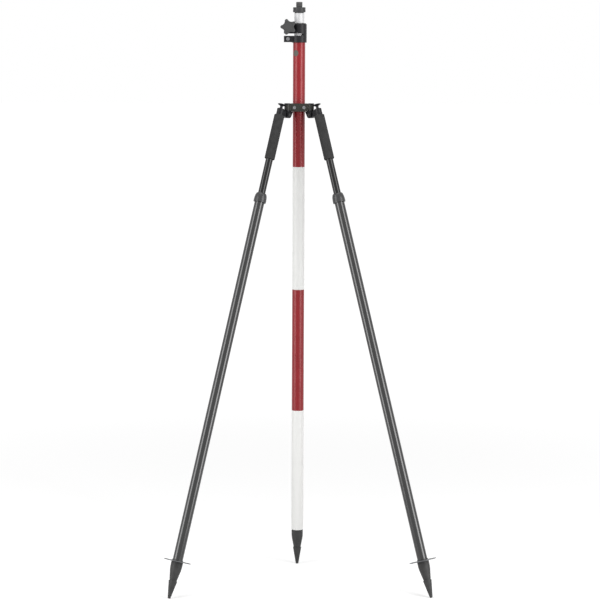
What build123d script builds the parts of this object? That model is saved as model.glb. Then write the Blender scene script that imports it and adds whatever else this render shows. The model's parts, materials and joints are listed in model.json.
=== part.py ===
"""Prism pole bipod: a telescoping survey pole held plumb by two thumb-release legs.

Millimetres, +Z up, -Y towards the legs (the front). The origin is the point of the pole,
the place that marks the survey point on the ground.
"""

from build123d import *
from math import acos, asin, atan2, cos, hypot, radians, sin
import os

# Fits and clearances
RUN = 0.06          # radial clearance of a piece that turns or slides in another
SEAT = 0.02         # radial clearance of a piece that is pressed, bonded or screwed home
FACE_GAP = 0.2      # axial gap between faces that turn on each other
SWING_GAP = 0.5     # clearance round a piece that swings

# Pole: outer tube with one-foot colour bands
BAND = 304.8        # one foot
BAND_COUNT = 4
BAND_FILM = 0.15
POLE_OD = 30.0
POLE_WALL = 2.0
POLE_IN_COLLAR = 15.5

# Pole: inner tube and the 5/8 inch stud for the prism
INNER_OD = 24.0
INNER_WALL = 1.5
INNER_SHOWS = 24.6
INNER_LOW_END = 140.0
INNER_BUSH_LENGTH = 30.0
NECK_OD = 22.6
NECK_HEIGHT = 2.1
FLANGE_OD = 30.8
FLANGE_HEIGHT = 11.9
FLANGE_LAND = 2.6
FLANGE_VEE = 4.0
FLANGE_VEE_DEPTH = 0.4
ADAPTER_SPIGOT = 26.0
STUD_OD = 15.875
STUD_HEIGHT = 13.0
STUD_ROOT_OD = 12.0
STUD_ROOT_DEPTH = 9.0

# Replaceable points, on the pole and on both legs
POINT_CONE = 40.6
POINT_TIP_R = 3.5
POINT_TIP_ROUND = 1.3
POINT_OD = 20.6
POINT_LAND = 2.0
POINT_NECK_OD = 17.4
POINT_NECK = 2.0
POINT_SHANK_OD = 12.0
POINT_SHANK = 18.0

# Pole ferrule
FERRULE_OD = 28.6
FERRULE_LOW_OD = 18.4
FERRULE_TAPER = 26.4
FERRULE_BAND = 18.2
FERRULE_SPIGOT = 24.0

# Lock collar at the top of the outer tube
COLLAR_OD = 37.0
COLLAR_LOWER = 16.3
COLLAR_SLIT = 5.7
COLLAR_UPPER = 25.0
COLLAR_SLIT_REACH = 7.0
COLLAR_SPLIT = 2.0
COLLAR_CHAMFER = 2.6
EAR_REACH = 37.5
EAR_WIDTH = 19.0
EAR_STEP = 1.0
EAR_ROUND = 2.0
GUIDE_BUSH_WALL = 1.9
COLLAR_SCREW_OUT = 27.5
COLLAR_SCREW_UP = 8.7
COLLAR_SCREW_OD = 5.0
COLLAR_SCREW_HEAD_OD = 9.0
COLLAR_SCREW_HEAD = 4.2
HEX_SOCKET = 4.0
HEX_DEPTH = 2.4

# Star knob of the lock collar
KNOB_OUT = 27.0
KNOB_DOWN = 9.4
KNOB_LOBES = 5
KNOB_R = 19.6
KNOB_VALLEY_R = 13.5
KNOB_LOBE_R = 4.2
KNOB_THICK = 11.0
KNOB_TURN = 36.0
KNOB_BOSS_R = 9.0
KNOB_DISH_R = 11.5
KNOB_DISH = 0.8
KNOB_SCREW_OD = 8.0
KNOB_NUT_AF = 13.0
KNOB_NUT = 5.0

# Bipod clamp on the outer tube
CLAMP_HEIGHT = 19.5
CLAMP_WALL = 6.0
CLAMP_BOSS_HALF = 21.0
CLAMP_SPLIT = 2.4
CLAMP_EAR = 9.0
CLAMP_EAR_REACH = 15.0
CLAMP_SCREW_OD = 5.0

# Hinge bracket: the cross bar in front of the pole
BAR_HALF = 22.3
BAR_BACK = 19.5
BAR_THICK = 10.0
BAR_CROWN = 1.6
BAR_EDGE = 1.2
CHANNEL_HALF = 5.8
CHANNEL_SLOPE = 2.4
CHANNEL_DEPTH = 1.4
BAR_SCREW_HALF = 11.6
BAR_SCREW_OD = 5.0
BAR_SCREW_HEAD_OD = 8.6
BAR_SCREW_HEAD = 5.0
BAR_SCREW_GRIP = 7.0
SWIVEL_X = 29.2
EYE_R = 7.25
EYE_HEIGHT = 12.4
EYE_NECK = 9.0
EYE_BELOW_TOP = 2.8
TENSION_OD = 4.0
TENSION_DEPTH = 2.6

# Swivel clevis: turns about a vertical shank, carries the fold pin below it
SHANK_OD = 8.6
CAP_HEIGHT = 3.3
CAP_SCREW_OD = 4.0
CAP_SCREW_HEAD_OD = 8.0
CAP_SCREW_LENGTH = 9.0
CLEVIS_COLLAR = 4.6
CLEVIS_WEB = 1.6
PIN_BELOW_COLLAR = 8.1
KNUCKLE_R = 7.6
CLEVIS_HEEL = 13.6   # reach of the cheeks towards the pole, under the bar
TONGUE = 7.4
CHEEK = 3.5
PIN_OD = 5.0
PIN_HEAD_OD = 8.0
PIN_HEAD = 1.4
PIN_TAIL = 1.0

# Stance: how the legs stand beside the plumb pole
LEG_AZIMUTH = 47.4   # of each leg's plane, from X towards the front
LEG_LEAN = 18.9      # of each leg from plumb

# Leg head and grip. Heights run up the leg from the top face of the grip
ARM = 27.0
PIN_RISE = 9.0
HUB_HEIGHT = 16.5
HUB_ROOF = 3.0
ARM_THICK = 12.0
ARM_HIGH = 5.0
ARM_ROOT = 13.2
HEAD_SPIGOT = 22.0
HEAD_FLOOR = 4.0
SPRING_BORE = 10.6
GRIP_OD = 25.0
GRIP_LENGTH = 112.0
GRIP_ROUND = 1.6

# Upper leg tube and the release that runs through it
UPPER_OD = 18.0
UPPER_WALL = 1.5
UPPER_LENGTH = 930.0
UPPER_BUSH = 25.0
ROD_OD = 6.0
BUTTON_TRAVEL = 5.0
POST_GAP = 1.5
BUTTON_R = 10.0
BUTTON_RIM = 1.6
BUTTON_FLARE = 3.4
BUTTON_CROWN = 0.5
POST_OD = 7.0
STOP_OD = 9.8
STOP = 2.6
SPRING_WIRE = 1.0
WIRE_FACETS = 8
SPRING_TURNS = 7
SPRING_END = 0.3
COLLET_LENGTH = 28.0
COLLET_FLANGE = 2.0
COLLET_SPIGOT = 15.0
COLLET_SLOTS = 4
COLLET_SLOT = 1.6
CONE_SMALL_R = 4.8
CONE_LARGE_R = 8.2
CONE_SKIRT = 6.0

# Lower leg tube, dome cap and foot. Heights run up the leg from the point
LEG_DRAWN = 86.6     # how far the lower leg is drawn out in this stance
STOW_GAP = 26.8      # left above the foot's plug when the leg is pushed home
LOWER_OD = 24.2
LOWER_WALL = 1.6
DOME_HEIGHT = 23.0
DOME_OD = 30.8
DOME_TOP_OD = 20.6
DOME_SKIRT = 4.0
BELL = 0.55          # share of each side that the bell's curve follows before it turns
DOME_SOCKET = 15.5
DOME_BUSH = 25.0
DOME_BUSH_FLANGE = 2.0
FOOT_BODY_OD = 28.2
FOOT_BODY_LOW_OD = 18.4
FOOT_BAND = 16.0
FOOT_TAPER = 27.4
FOOT_DISC_OD = 64.6
FOOT_DISC = 2.2
FOOT_SPIGOT = 26.0

# Places that follow from the sizes
POLE_R = POLE_OD / 2
POLE_BORE_R = POLE_R - POLE_WALL
INNER_R = INNER_OD / 2
INNER_BORE_R = INNER_R - INNER_WALL
point_seat = POINT_CONE + POINT_LAND + POINT_NECK
tube_low = point_seat + FERRULE_TAPER + FERRULE_BAND
collar_low = tube_low + BAND_COUNT * BAND
tube_top = collar_low + POLE_IN_COLLAR
slit_low = collar_low + COLLAR_LOWER
slit_high = slit_low + COLLAR_SLIT
collar_top = slit_high + COLLAR_UPPER
inner_top = collar_top + INNER_SHOWS
flange_low = inner_top + NECK_HEIGHT
flange_top = flange_low + FLANGE_HEIGHT
stud_top = flange_top + STUD_HEIGHT
clevis_half = TONGUE / 2 + FACE_GAP + CHEEK
clevis_corner = hypot(KNUCKLE_R, clevis_half)
UPPER_R = UPPER_OD / 2
UPPER_BORE_R = UPPER_R - UPPER_WALL
LOWER_R = LOWER_OD / 2
LOWER_BORE_R = LOWER_R - LOWER_WALL
lean = radians(LEG_LEAN)
azimuth = radians(LEG_AZIMUTH)
disc_low = point_seat + FOOT_TAPER + FOOT_BAND
lower_tube_low = disc_low + FOOT_DISC
# The lower tube is long enough to take the upper one and its lock up to the grip
lock_reach = COLLET_FLANGE + COLLET_LENGTH + CONE_SKIRT
dome_top = lower_tube_low + FOOT_SPIGOT + STOW_GAP + lock_reach + UPPER_LENGTH - GRIP_LENGTH
lower_tube_top = dome_top - DOME_HEIGHT + DOME_SOCKET
# From the grip's top to the point, whose inner rim just rests on the ground
leg_length = dome_top + LEG_DRAWN + GRIP_LENGTH
rim_rise = POINT_TIP_ROUND * (1 - cos(lean)) + (POINT_TIP_R - POINT_TIP_ROUND) * sin(lean)
grip_top_z = rim_rise + leg_length * cos(lean)
# The clamp sits on the pole where legs of this length bring it
pin_z = grip_top_z - ARM * sin(lean) + PIN_RISE * cos(lean)
clevis_root = pin_z + PIN_BELOW_COLLAR
clevis_top = clevis_root + CLEVIS_COLLAR
eye_low = clevis_top + FACE_GAP
eye_top = eye_low + EYE_HEIGHT
clamp_top = eye_top + EYE_BELOW_TOP
clamp_low = clamp_top - CLAMP_HEIGHT
clamp_centre = clamp_top - CLAMP_HEIGHT / 2
clamp_r = POLE_R + CLAMP_WALL
bar_mid_y = -(BAR_BACK + BAR_THICK / 2)
bar_front = -(BAR_BACK + BAR_THICK)
spring_top = HUB_HEIGHT - HUB_ROOF - FACE_GAP - STOP
spring_floor = HEAD_FLOOR - HEAD_SPIGOT
button_top = HUB_HEIGHT + BUTTON_TRAVEL + POST_GAP + BUTTON_FLARE + BUTTON_RIM
collet_low = -(UPPER_LENGTH + COLLET_FLANGE + COLLET_LENGTH)

SIDES = (("left", -1), ("right", 1))
nodes = {}


def keep(name, *solids):
    """Store one named piece, or a group of separate solids of one name."""
    nodes[name] = solids[0] if len(solids) == 1 else Compound(children=list(solids))


def turned(*outline):
    """Body turned about Z from (radius, height) corners."""
    return revolve(make_face(Plane.XZ * Polyline(*outline, close=True)), Axis.Z)


def rod(radius, low, high):
    """Cylinder on Z between two heights."""
    return turned((0, low), (radius, low), (radius, high), (0, high))


def tube(outer, inner, low, high):
    """Round tube on Z between two heights."""
    return turned((inner, low), (outer, low), (outer, high), (inner, high))


def block(x0, x1, y0, y1, z0, z1):
    """Box between two corners."""
    return Pos((x0 + x1) / 2, (y0 + y1) / 2, (z0 + z1) / 2) * Box(x1 - x0, y1 - y0, z1 - z0)


def along_y(x, z):
    """Frame at (x, 0, z) whose own Z looks out of the front, along -Y."""
    return Plane(origin=(x, 0, z), x_dir=(1, 0, 0), z_dir=(0, -1, 0))


def hex_prism(across_flats, low, high):
    """Hexagonal prism on Z between two heights."""
    profile = RegularPolygon(across_flats / 2, 6, major_radius=False)
    return Pos(0, 0, low) * extrude(profile, high - low)


def socket_screw(thread_r, length, head_r, head):
    """Cap screw: the head stands on Z = 0, the shank runs down to -length."""
    body = rod(thread_r, -length, 0) + rod(head_r, 0, head)
    body = chamfer(body.edges().group_by(Axis.Z)[-1], 0.5)
    return body - hex_prism(HEX_SOCKET, head - HEX_DEPTH, head + 1)


def ground_point():
    """Screw-in point: blunt tip with a round rim, cone, land, neck and shank, tip at the origin."""
    base_r = POINT_OD / 2
    edge = POINT_TIP_ROUND
    flat_r = POINT_TIP_R - edge
    rise = POINT_CONE - edge
    run = base_r - flat_r
    slant = atan2(run, rise) - asin(edge / hypot(run, rise))
    middle = radians(45) + slant / 2
    land_top = POINT_CONE + POINT_LAND
    neck_top = land_top + POINT_NECK
    top = neck_top + POINT_SHANK
    side = [
        Line((0, 0), (flat_r, 0)),
        ThreePointArc(
            (flat_r, 0),
            (flat_r + edge * cos(middle), edge * (1 - sin(middle))),
            (flat_r + edge * cos(slant), edge * (1 - sin(slant))),
        ),
        Polyline(
            (flat_r + edge * cos(slant), edge * (1 - sin(slant))),
            (base_r, POINT_CONE),
            (base_r, land_top),
            (POINT_NECK_OD / 2, land_top),
            (POINT_NECK_OD / 2, neck_top),
            (POINT_SHANK_OD / 2, neck_top),
            (POINT_SHANK_OD / 2, top),
            (0, top),
            (0, 0),
        ),
    ]
    return revolve(make_face(Plane.XZ * Curve(side)), Axis.Z)


def ferrule(low_r, high_r, taper, band, spigot_r, spigot):
    """Tapered plug on the point: cone, parallel band and a spigot up into its tube."""
    bore = POINT_SHANK_OD / 2 + SEAT
    floor = point_seat + POINT_SHANK + 2
    shoulder = point_seat + taper
    top = shoulder + band
    return turned(
        (bore, point_seat),
        (low_r, point_seat),
        (high_r, shoulder),
        (high_r, top),
        (spigot_r, top),
        (spigot_r, top + spigot),
        (0, top + spigot),
        (0, floor),
        (bore, floor),
    )


def star_outline():
    """Star of round lobes joined by shallow valleys, every arc tangent to the next."""
    step = radians(360 / KNOB_LOBES)
    c = cos(step / 2)
    tip_c = KNOB_R - KNOB_LOBE_R
    gap = tip_c**2 + KNOB_VALLEY_R**2 - 2 * tip_c * KNOB_VALLEY_R * c - KNOB_LOBE_R**2
    valley_r = gap / (2 * (KNOB_LOBE_R - KNOB_VALLEY_R + tip_c * c))
    valley_c = KNOB_VALLEY_R + valley_r
    share = KNOB_LOBE_R / (KNOB_LOBE_R + valley_r)

    def at(radius, angle):
        return Vector(radius * cos(angle), radius * sin(angle))

    arcs = []
    for k in range(KNOB_LOBES):
        a = k * step
        tip = at(tip_c, a)
        joins = [tip + (at(valley_c, a + s * step / 2) - tip) * share for s in (-1, 1)]
        following = at(tip_c, a + step)
        after = following + (at(valley_c, a + step / 2) - following) * share
        arcs.append(ThreePointArc(joins[0], at(KNOB_R, a), joins[1]))
        arcs.append(ThreePointArc(joins[1], at(KNOB_VALLEY_R, a + step / 2), after))
    return make_face(Curve(arcs))


def build_pole():
    """Outer tube, its white bands, the ferrule and the point."""
    keep("pole_point", ground_point())
    keep(
        "pole_ferrule",
        ferrule(
            FERRULE_LOW_OD / 2,
            FERRULE_OD / 2,
            FERRULE_TAPER,
            FERRULE_BAND,
            POLE_BORE_R - SEAT,
            FERRULE_SPIGOT,
        ),
    )
    keep("outer_tube", tube(POLE_R, POLE_BORE_R, tube_low, tube_top))
    film = [
        tube(POLE_R + BAND_FILM, POLE_R + SEAT / 2, tube_low + k * BAND, tube_low + (k + 1) * BAND)
        for k in range(0, BAND_COUNT, 2)
    ]
    keep("white_bands", *film)


def build_inner_pole():
    """Telescoping inner tube with its lower bush, neck ring, top adapter and stud."""
    keep("inner_tube", tube(INNER_R, INNER_BORE_R, INNER_LOW_END, inner_top))
    bush_r = POLE_BORE_R - RUN
    keep(
        "inner_bush",
        tube(bush_r, INNER_R + SEAT, INNER_LOW_END, INNER_LOW_END + INNER_BUSH_LENGTH),
    )
    spigot_r = INNER_BORE_R - SEAT
    root_r = STUD_ROOT_OD / 2 + SEAT
    root_low = flange_top - STUD_ROOT_DEPTH
    land_low = flange_top - FLANGE_LAND
    edge = 1.0
    keep("neck_ring", tube(NECK_OD / 2, spigot_r + SEAT, inner_top, flange_low))
    keep(
        "top_adapter",
        turned(
            (0, inner_top - ADAPTER_SPIGOT),
            (spigot_r, inner_top - ADAPTER_SPIGOT),
            (spigot_r, flange_low),
            (FLANGE_OD / 2 - edge, flange_low),
            (FLANGE_OD / 2, flange_low + edge),
            (FLANGE_OD / 2, land_low - FLANGE_VEE),
            (FLANGE_OD / 2 - FLANGE_VEE_DEPTH, land_low - FLANGE_VEE / 2),
            (FLANGE_OD / 2, land_low),
            (FLANGE_OD / 2, flange_top - edge),
            (FLANGE_OD / 2 - edge, flange_top),
            (root_r, flange_top),
            (root_r, root_low),
            (0, root_low),
        ),
    )
    stud_r = STUD_OD / 2
    bevel = 1.2
    keep(
        "top_stud",
        turned(
            (0, root_low),
            (STUD_ROOT_OD / 2, root_low),
            (STUD_ROOT_OD / 2, flange_top),
            (stud_r, flange_top),
            (stud_r, stud_top - bevel),
            (stud_r - bevel, stud_top),
            (0, stud_top),
        ),
    )


def build_lock_collar():
    """Slit clamp: the lower half grips the outer tube, the upper half pinches the inner."""
    collar_r = COLLAR_OD / 2
    bush_r = INNER_R + GUIDE_BUSH_WALL
    half = EAR_WIDTH / 2
    body = rod(collar_r, collar_low, collar_top)
    body = chamfer(body.edges().group_by(Axis.Z)[-1], COLLAR_CHAMFER)
    lower_ear = block(-EAR_REACH, 0, -half, half, collar_low + EAR_STEP, slit_low)
    upper_ear = block(-EAR_REACH, 0, -half, half, slit_high, collar_top - EAR_STEP)
    for ear in (lower_ear, upper_ear):
        ends = ear.edges().filter_by(Axis.Z).group_by(Axis.X)[0]
        body += fillet(ends, EAR_ROUND)
    body -= rod(POLE_R + SEAT, collar_low - 1, tube_top)
    body -= rod(bush_r + SEAT, tube_top - 1, collar_top + 1)
    slit_mid = (slit_low + slit_high) / 2
    slit_half = COLLAR_SLIT / 2
    reach = COLLAR_SLIT_REACH
    body -= block(-EAR_REACH - 1, reach, -COLLAR_OD, COLLAR_OD, slit_low, slit_high)
    relief = Cylinder(slit_half, 2 * COLLAR_OD)
    body -= Pos(reach, 0, slit_mid) * Rot(90, 0, 0) * relief
    split = COLLAR_SPLIT / 2
    body -= block(-EAR_REACH - 1, 0, -split, split, collar_low - 1, collar_top + 1)
    screw_z = collar_low + COLLAR_SCREW_UP
    knob_z = collar_top - KNOB_DOWN
    screw_place = along_y(-COLLAR_SCREW_OUT, screw_z)
    knob_place = along_y(-KNOB_OUT, knob_z)
    screw_r = COLLAR_SCREW_OD / 2
    head_r = COLLAR_SCREW_HEAD_OD / 2
    sink = 1.4
    body -= screw_place * rod(screw_r + SEAT, -half - 1, half + 1)
    body -= screw_place * rod(head_r + SEAT, half - sink, half + 1)
    body -= knob_place * rod(KNOB_SCREW_OD / 2 + RUN, -half - 1, half + 1)
    body -= knob_place * hex_prism(KNOB_NUT_AF + 2 * SEAT, -half - 1, KNOB_NUT - half)
    keep("lock_collar", body)
    bush = tube(bush_r, INNER_R + RUN, slit_high, collar_top)
    bush -= block(-EAR_REACH, 0, -split, split, slit_high - 1, collar_top + 1)
    keep("guide_bush", bush)
    screw = socket_screw(screw_r, EAR_WIDTH - sink, head_r, COLLAR_SCREW_HEAD)
    keep("collar_screw", screw_place * Pos(0, 0, half - sink) * screw)
    nut = hex_prism(KNOB_NUT_AF, -half, KNOB_NUT - half)
    nut -= rod(KNOB_SCREW_OD / 2 + RUN, -half - 1, half)
    keep("knob_nut", knob_place * nut)

    knob_back = collar_r + SWING_GAP
    front = knob_back + KNOB_THICK
    boss = turned(
        (0, half + FACE_GAP),
        (KNOB_BOSS_R - 1.5, half + FACE_GAP),
        (KNOB_BOSS_R, knob_back + 1),
        (0, knob_back + 1),
    )
    star = Pos(0, 0, knob_back) * Rot(0, 0, KNOB_TURN) * extrude(star_outline(), KNOB_THICK)
    star = fillet(star.edges().group_by(Axis.Z)[-1], 1.8)
    star -= rod(KNOB_DISH_R, front - KNOB_DISH, front + 1)
    socket_top = front - 4
    knob = star + boss
    knob -= rod(KNOB_SCREW_OD / 2 + SEAT, half, socket_top)
    keep("star_knob", knob_place * knob)
    keep("knob_screw", knob_place * rod(KNOB_SCREW_OD / 2, -half, socket_top))


def build_clamp():
    """Clamp ring round the outer tube, with the cross bar that carries both swivels."""
    boss = block(-CLAMP_BOSS_HALF, CLAMP_BOSS_HALF, -BAR_BACK, 0, clamp_low, clamp_top)
    boss = chamfer(boss.edges().filter_by(Axis.Z).group_by(Axis.Y)[0], CLAMP_WALL)
    ring = rod(clamp_r, clamp_low, clamp_top) + boss
    ear_far = clamp_r + CLAMP_EAR_REACH - CLAMP_WALL / 2
    ear_half = CLAMP_SPLIT / 2 + CLAMP_EAR
    ears = block(-ear_half, ear_half, 0, ear_far, clamp_low, clamp_top)
    ears = fillet(ears.edges().filter_by(Axis.Z).group_by(Axis.Y)[-1], 2.5)
    ring += ears
    ring -= block(-clamp_r, clamp_r, -clamp_r - 1, -BAR_BACK, clamp_low - 1, clamp_top + 1)
    ring -= rod(POLE_R + SEAT, clamp_low - 1, clamp_top + 1)
    split = CLAMP_SPLIT / 2
    ring -= block(-split, split, 0, ear_far + 1, clamp_low - 1, clamp_top + 1)
    pinch = Plane(
        origin=(0, (clamp_r + ear_far) / 2, clamp_centre), x_dir=(0, 1, 0), z_dir=(1, 0, 0)
    )
    pinch_r = CLAMP_SCREW_OD / 2
    head_r = BAR_SCREW_HEAD_OD / 2
    sink = 3.0
    ring -= pinch * rod(pinch_r + SEAT, -ear_half - 1, ear_half + 1)
    ring -= pinch * rod(head_r + SEAT, ear_half - sink, ear_half + 1)
    screw = socket_screw(pinch_r, 2 * ear_half - sink, head_r, BAR_SCREW_HEAD - 1)
    keep("clamp_screw", pinch * Pos(0, 0, ear_half - sink) * screw)

    bar_r = BAR_SCREW_OD / 2
    half = BAR_HALF
    chord = ThreePointArc((-half, bar_front + BAR_CROWN), (0, bar_front), (half, bar_front + BAR_CROWN))
    sides = Polyline(
        (half, bar_front + BAR_CROWN), (half, -BAR_BACK), (-half, -BAR_BACK), (-half, bar_front + BAR_CROWN)
    )
    bar = Pos(0, 0, clamp_low) * extrude(make_face(Curve([chord, sides])), CLAMP_HEIGHT)
    upright = bar.edges().filter_by(Axis.Z).group_by(Axis.Y)[0]
    bar = fillet(upright, BAR_EDGE)
    for sign in (-1, 1):
        x = sign * SWIVEL_X
        around = Pos(x, bar_mid_y, 0)
        bar -= around * rod(EYE_R + SWING_GAP, clamp_low - 1, eye_low)
        bar -= around * rod(EYE_R + SWING_GAP, eye_top, clamp_top + 1)
        web_top = clevis_root + CLEVIS_WEB + FACE_GAP
        bar -= around * rod(clevis_corner + SWING_GAP, clamp_low - 1, web_top)
    for sign in (-1, 1):
        x = sign * SWIVEL_X
        around = Pos(x, bar_mid_y, 0)
        near, far = sorted((sign * (half - 1), x))
        neck = block(near, far, bar_mid_y - EYE_NECK / 2, bar_mid_y + EYE_NECK / 2, eye_low, eye_top)
        bar += neck + around * rod(EYE_R, eye_low, eye_top)
        bar -= around * rod(SHANK_OD / 2 + RUN, eye_low - 1, eye_top + 1)
    face = -bar_front - BAR_CROWN / 2
    channel = Polygon(
        (-CHANNEL_HALF - 2 * CHANNEL_SLOPE, -face - CHANNEL_DEPTH),
        (-CHANNEL_HALF, CHANNEL_DEPTH - face),
        (CHANNEL_HALF, CHANNEL_DEPTH - face),
        (CHANNEL_HALF + 2 * CHANNEL_SLOPE, -face - CHANNEL_DEPTH),
        align=None,
    )
    bar_screws = []
    tension_screws = []
    tension_z = eye_low + TENSION_OD / 2 + 1
    for sign in (-1, 1):
        place = along_y(sign * BAR_SCREW_HALF, clamp_centre)
        seat = face - BAR_SCREW_HEAD
        bar -= Pos(sign * BAR_SCREW_HALF, 0, clamp_low) * extrude(channel, CLAMP_HEIGHT)
        bar -= place * rod(bar_r + SEAT, BAR_BACK - 1, -bar_front + 1)
        bar -= place * rod(head_r + SEAT, seat, -bar_front + 1)
        grip = seat - BAR_BACK + BAR_SCREW_GRIP
        ring -= place * rod(bar_r + SEAT, BAR_BACK - BAR_SCREW_GRIP, BAR_BACK + 1)
        screw = socket_screw(bar_r, grip, head_r, BAR_SCREW_HEAD)
        bar_screws.append(place * Pos(0, 0, seat) * screw)
        swivel = along_y(sign * SWIVEL_X, tension_z)
        wall = -bar_mid_y + EYE_R
        tip = -bar_mid_y + SHANK_OD / 2 + RUN
        bar -= swivel * rod(TENSION_OD / 2 + SEAT, -bar_mid_y, wall + 1)
        grub = rod(TENSION_OD / 2, tip, tip + TENSION_DEPTH)
        grub -= hex_prism(TENSION_OD / 2, tip + TENSION_DEPTH - 1.2, tip + TENSION_DEPTH + 1)
        tension_screws.append(swivel * grub)
    keep("clamp_ring", ring)
    keep("hinge_bracket", bar)
    keep("bracket_screws", *bar_screws)
    keep("tension_screws", *tension_screws)


def outward(sign):
    """Level direction in which one leg leans away from its swivel."""
    return Vector(sign * cos(azimuth), -sin(azimuth), 0)


def swivel_frame(sign):
    """Frame on one swivel's axis at height 0: X outward along the leg's plane, Z up."""
    return Plane(origin=(sign * SWIVEL_X, bar_mid_y, 0), x_dir=outward(sign), z_dir=(0, 0, 1))


def leg_frame(sign):
    """Frame on one leg's axis at the top of the grip: X away from the fold pin, Z up the leg."""
    up = Vector(0, 0, 1)
    x_leg = outward(sign) * cos(lean) + up * sin(lean)
    z_leg = up * cos(lean) - outward(sign) * sin(lean)
    pin = Vector(sign * SWIVEL_X, bar_mid_y, pin_z)
    return Plane(origin=pin + x_leg * ARM - z_leg * PIN_RISE, x_dir=x_leg, z_dir=z_leg)


def foot_frame(sign):
    """The leg's frame moved down to its point, for the pieces that slide out together."""
    return leg_frame(sign) * Pos(0, 0, -leg_length)


def across(half, x, z, radius):
    """Cylinder across a leg's plane, centred on it at (x, z)."""
    return Pos(x, 0, z) * Rot(90, 0, 0) * Cylinder(radius, 2 * half)


def build_swivel(side, sign):
    """Clevis on its vertical shank, held up by a cap and a countersunk screw."""
    place = swivel_frame(sign)
    front = -sign
    half = clevis_half
    # The heel's underside runs down to touch the round of the knuckle
    drop = clevis_root - pin_z
    reach = hypot(CLEVIS_HEEL, drop)
    touch = atan2(drop, -CLEVIS_HEEL) + acos(KNUCKLE_R / reach)
    lug = Polygon(
        (-CLEVIS_HEEL, clevis_root),
        (KNUCKLE_R * cos(touch), pin_z + KNUCKLE_R * sin(touch)),
        (0, pin_z),
        (KNUCKLE_R, pin_z),
        (KNUCKLE_R, clevis_root),
        align=None,
    )
    cheeks = extrude(Plane.XZ * lug, half, both=True)
    cheeks += across(half, 0, pin_z, KNUCKLE_R)
    slot = TONGUE / 2 + FACE_GAP
    far = 2 * KNUCKLE_R
    cheeks -= block(-far, far, -slot, slot, pin_z - far, clevis_root)
    collar = rod(EYE_R, clevis_root, clevis_top)
    web = block(-KNUCKLE_R, KNUCKLE_R, -half, half, clevis_root, clevis_root + CLEVIS_WEB)
    body = cheeks + web + collar
    cap_low = eye_top + FACE_GAP
    body += rod(SHANK_OD / 2, clevis_top, cap_low)
    body -= across(half + 1, 0, pin_z, PIN_OD / 2 + SEAT)
    screw_r = CAP_SCREW_OD / 2
    head_r = CAP_SCREW_HEAD_OD / 2
    cap_top = cap_low + CAP_HEIGHT
    tip = cap_top - CAP_SCREW_LENGTH
    body -= rod(screw_r + SEAT, tip - 1, cap_low + 1)
    keep(f"{side}_swivel_clevis", place * body)
    sink = head_r - screw_r
    cap = turned(
        (screw_r + SEAT, cap_low),
        (EYE_R, cap_low),
        (EYE_R, cap_top - 0.6),
        (EYE_R - 0.6, cap_top),
        (head_r + SEAT, cap_top),
        (screw_r + SEAT, cap_top - sink),
    )
    keep(f"{side}_swivel_cap", place * cap)
    screw = turned(
        (0, tip),
        (screw_r, tip),
        (screw_r, cap_top - sink),
        (head_r, cap_top),
        (0, cap_top),
    )
    screw -= hex_prism(CAP_SCREW_OD / 1.6, cap_top - 1.6, cap_top + 1)
    keep(f"{side}_swivel_screw", place * screw)
    pin_frame = Pos(0, 0, pin_z) * Rot(-90 * front, 0, 0)
    head = turned(
        (0, half),
        (PIN_HEAD_OD / 2, half),
        (PIN_HEAD_OD / 2 - 0.5, half + PIN_HEAD),
        (0, half + PIN_HEAD),
    )
    pin = rod(PIN_OD / 2, -half - PIN_TAIL, half) + head
    keep(f"{side}_fold_pin", place * pin_frame * pin)


def head_profile():
    """Side view of the arm: round the pin, low and slim in the clevis, deep at the hub."""
    x = -ARM
    top = PIN_RISE + KNUCKLE_R
    tuck = ARM - ARM_ROOT
    flat = Polygon(
        (x, PIN_RISE - KNUCKLE_R),
        (0, 0),
        (0, HUB_HEIGHT - 1),
        (-UPPER_R + 1, HUB_HEIGHT - 1),
        (-tuck, PIN_RISE + ARM_HIGH),
        (x + KNUCKLE_R, PIN_RISE + ARM_HIGH / 2),
        (x, PIN_RISE + ARM_HIGH / 2),
        align=None,
    )
    return flat + Pos(x, PIN_RISE) * Circle(KNUCKLE_R)


def build_leg_head(side, sign):
    """Casting that joins the fold pin to the leg, with the button's guide in its hub."""
    place = leg_frame(sign)
    profile = Plane.XZ * head_profile()
    tongue = extrude(profile, TONGUE / 2, both=True)
    arm = extrude(profile, ARM_THICK / 2, both=True)
    # The arm is slim inside the sweep of the clevis cheeks and full outside it
    sweep = hypot(KNUCKLE_R, PIN_BELOW_COLLAR) + SWING_GAP
    arm -= across(ARM_THICK, -ARM, PIN_RISE, sweep)
    body = tongue + arm + rod(UPPER_R, 0, HUB_HEIGHT)
    body = chamfer(body.edges().group_by(Axis.Z)[-1], 0.8)
    body += rod(UPPER_BORE_R - SEAT, -HEAD_SPIGOT, 1)
    body -= rod(ROD_OD / 2 + RUN, -HEAD_SPIGOT - 1, 0)
    body -= rod(POST_OD / 2 + RUN, 0, HUB_HEIGHT + 1)
    body -= rod(SPRING_BORE / 2, spring_floor, HUB_HEIGHT - HUB_ROOF)
    body -= across(ARM_THICK, -ARM, PIN_RISE, PIN_OD / 2 + RUN)
    keep(f"{side}_leg_head", place * body)


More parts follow.
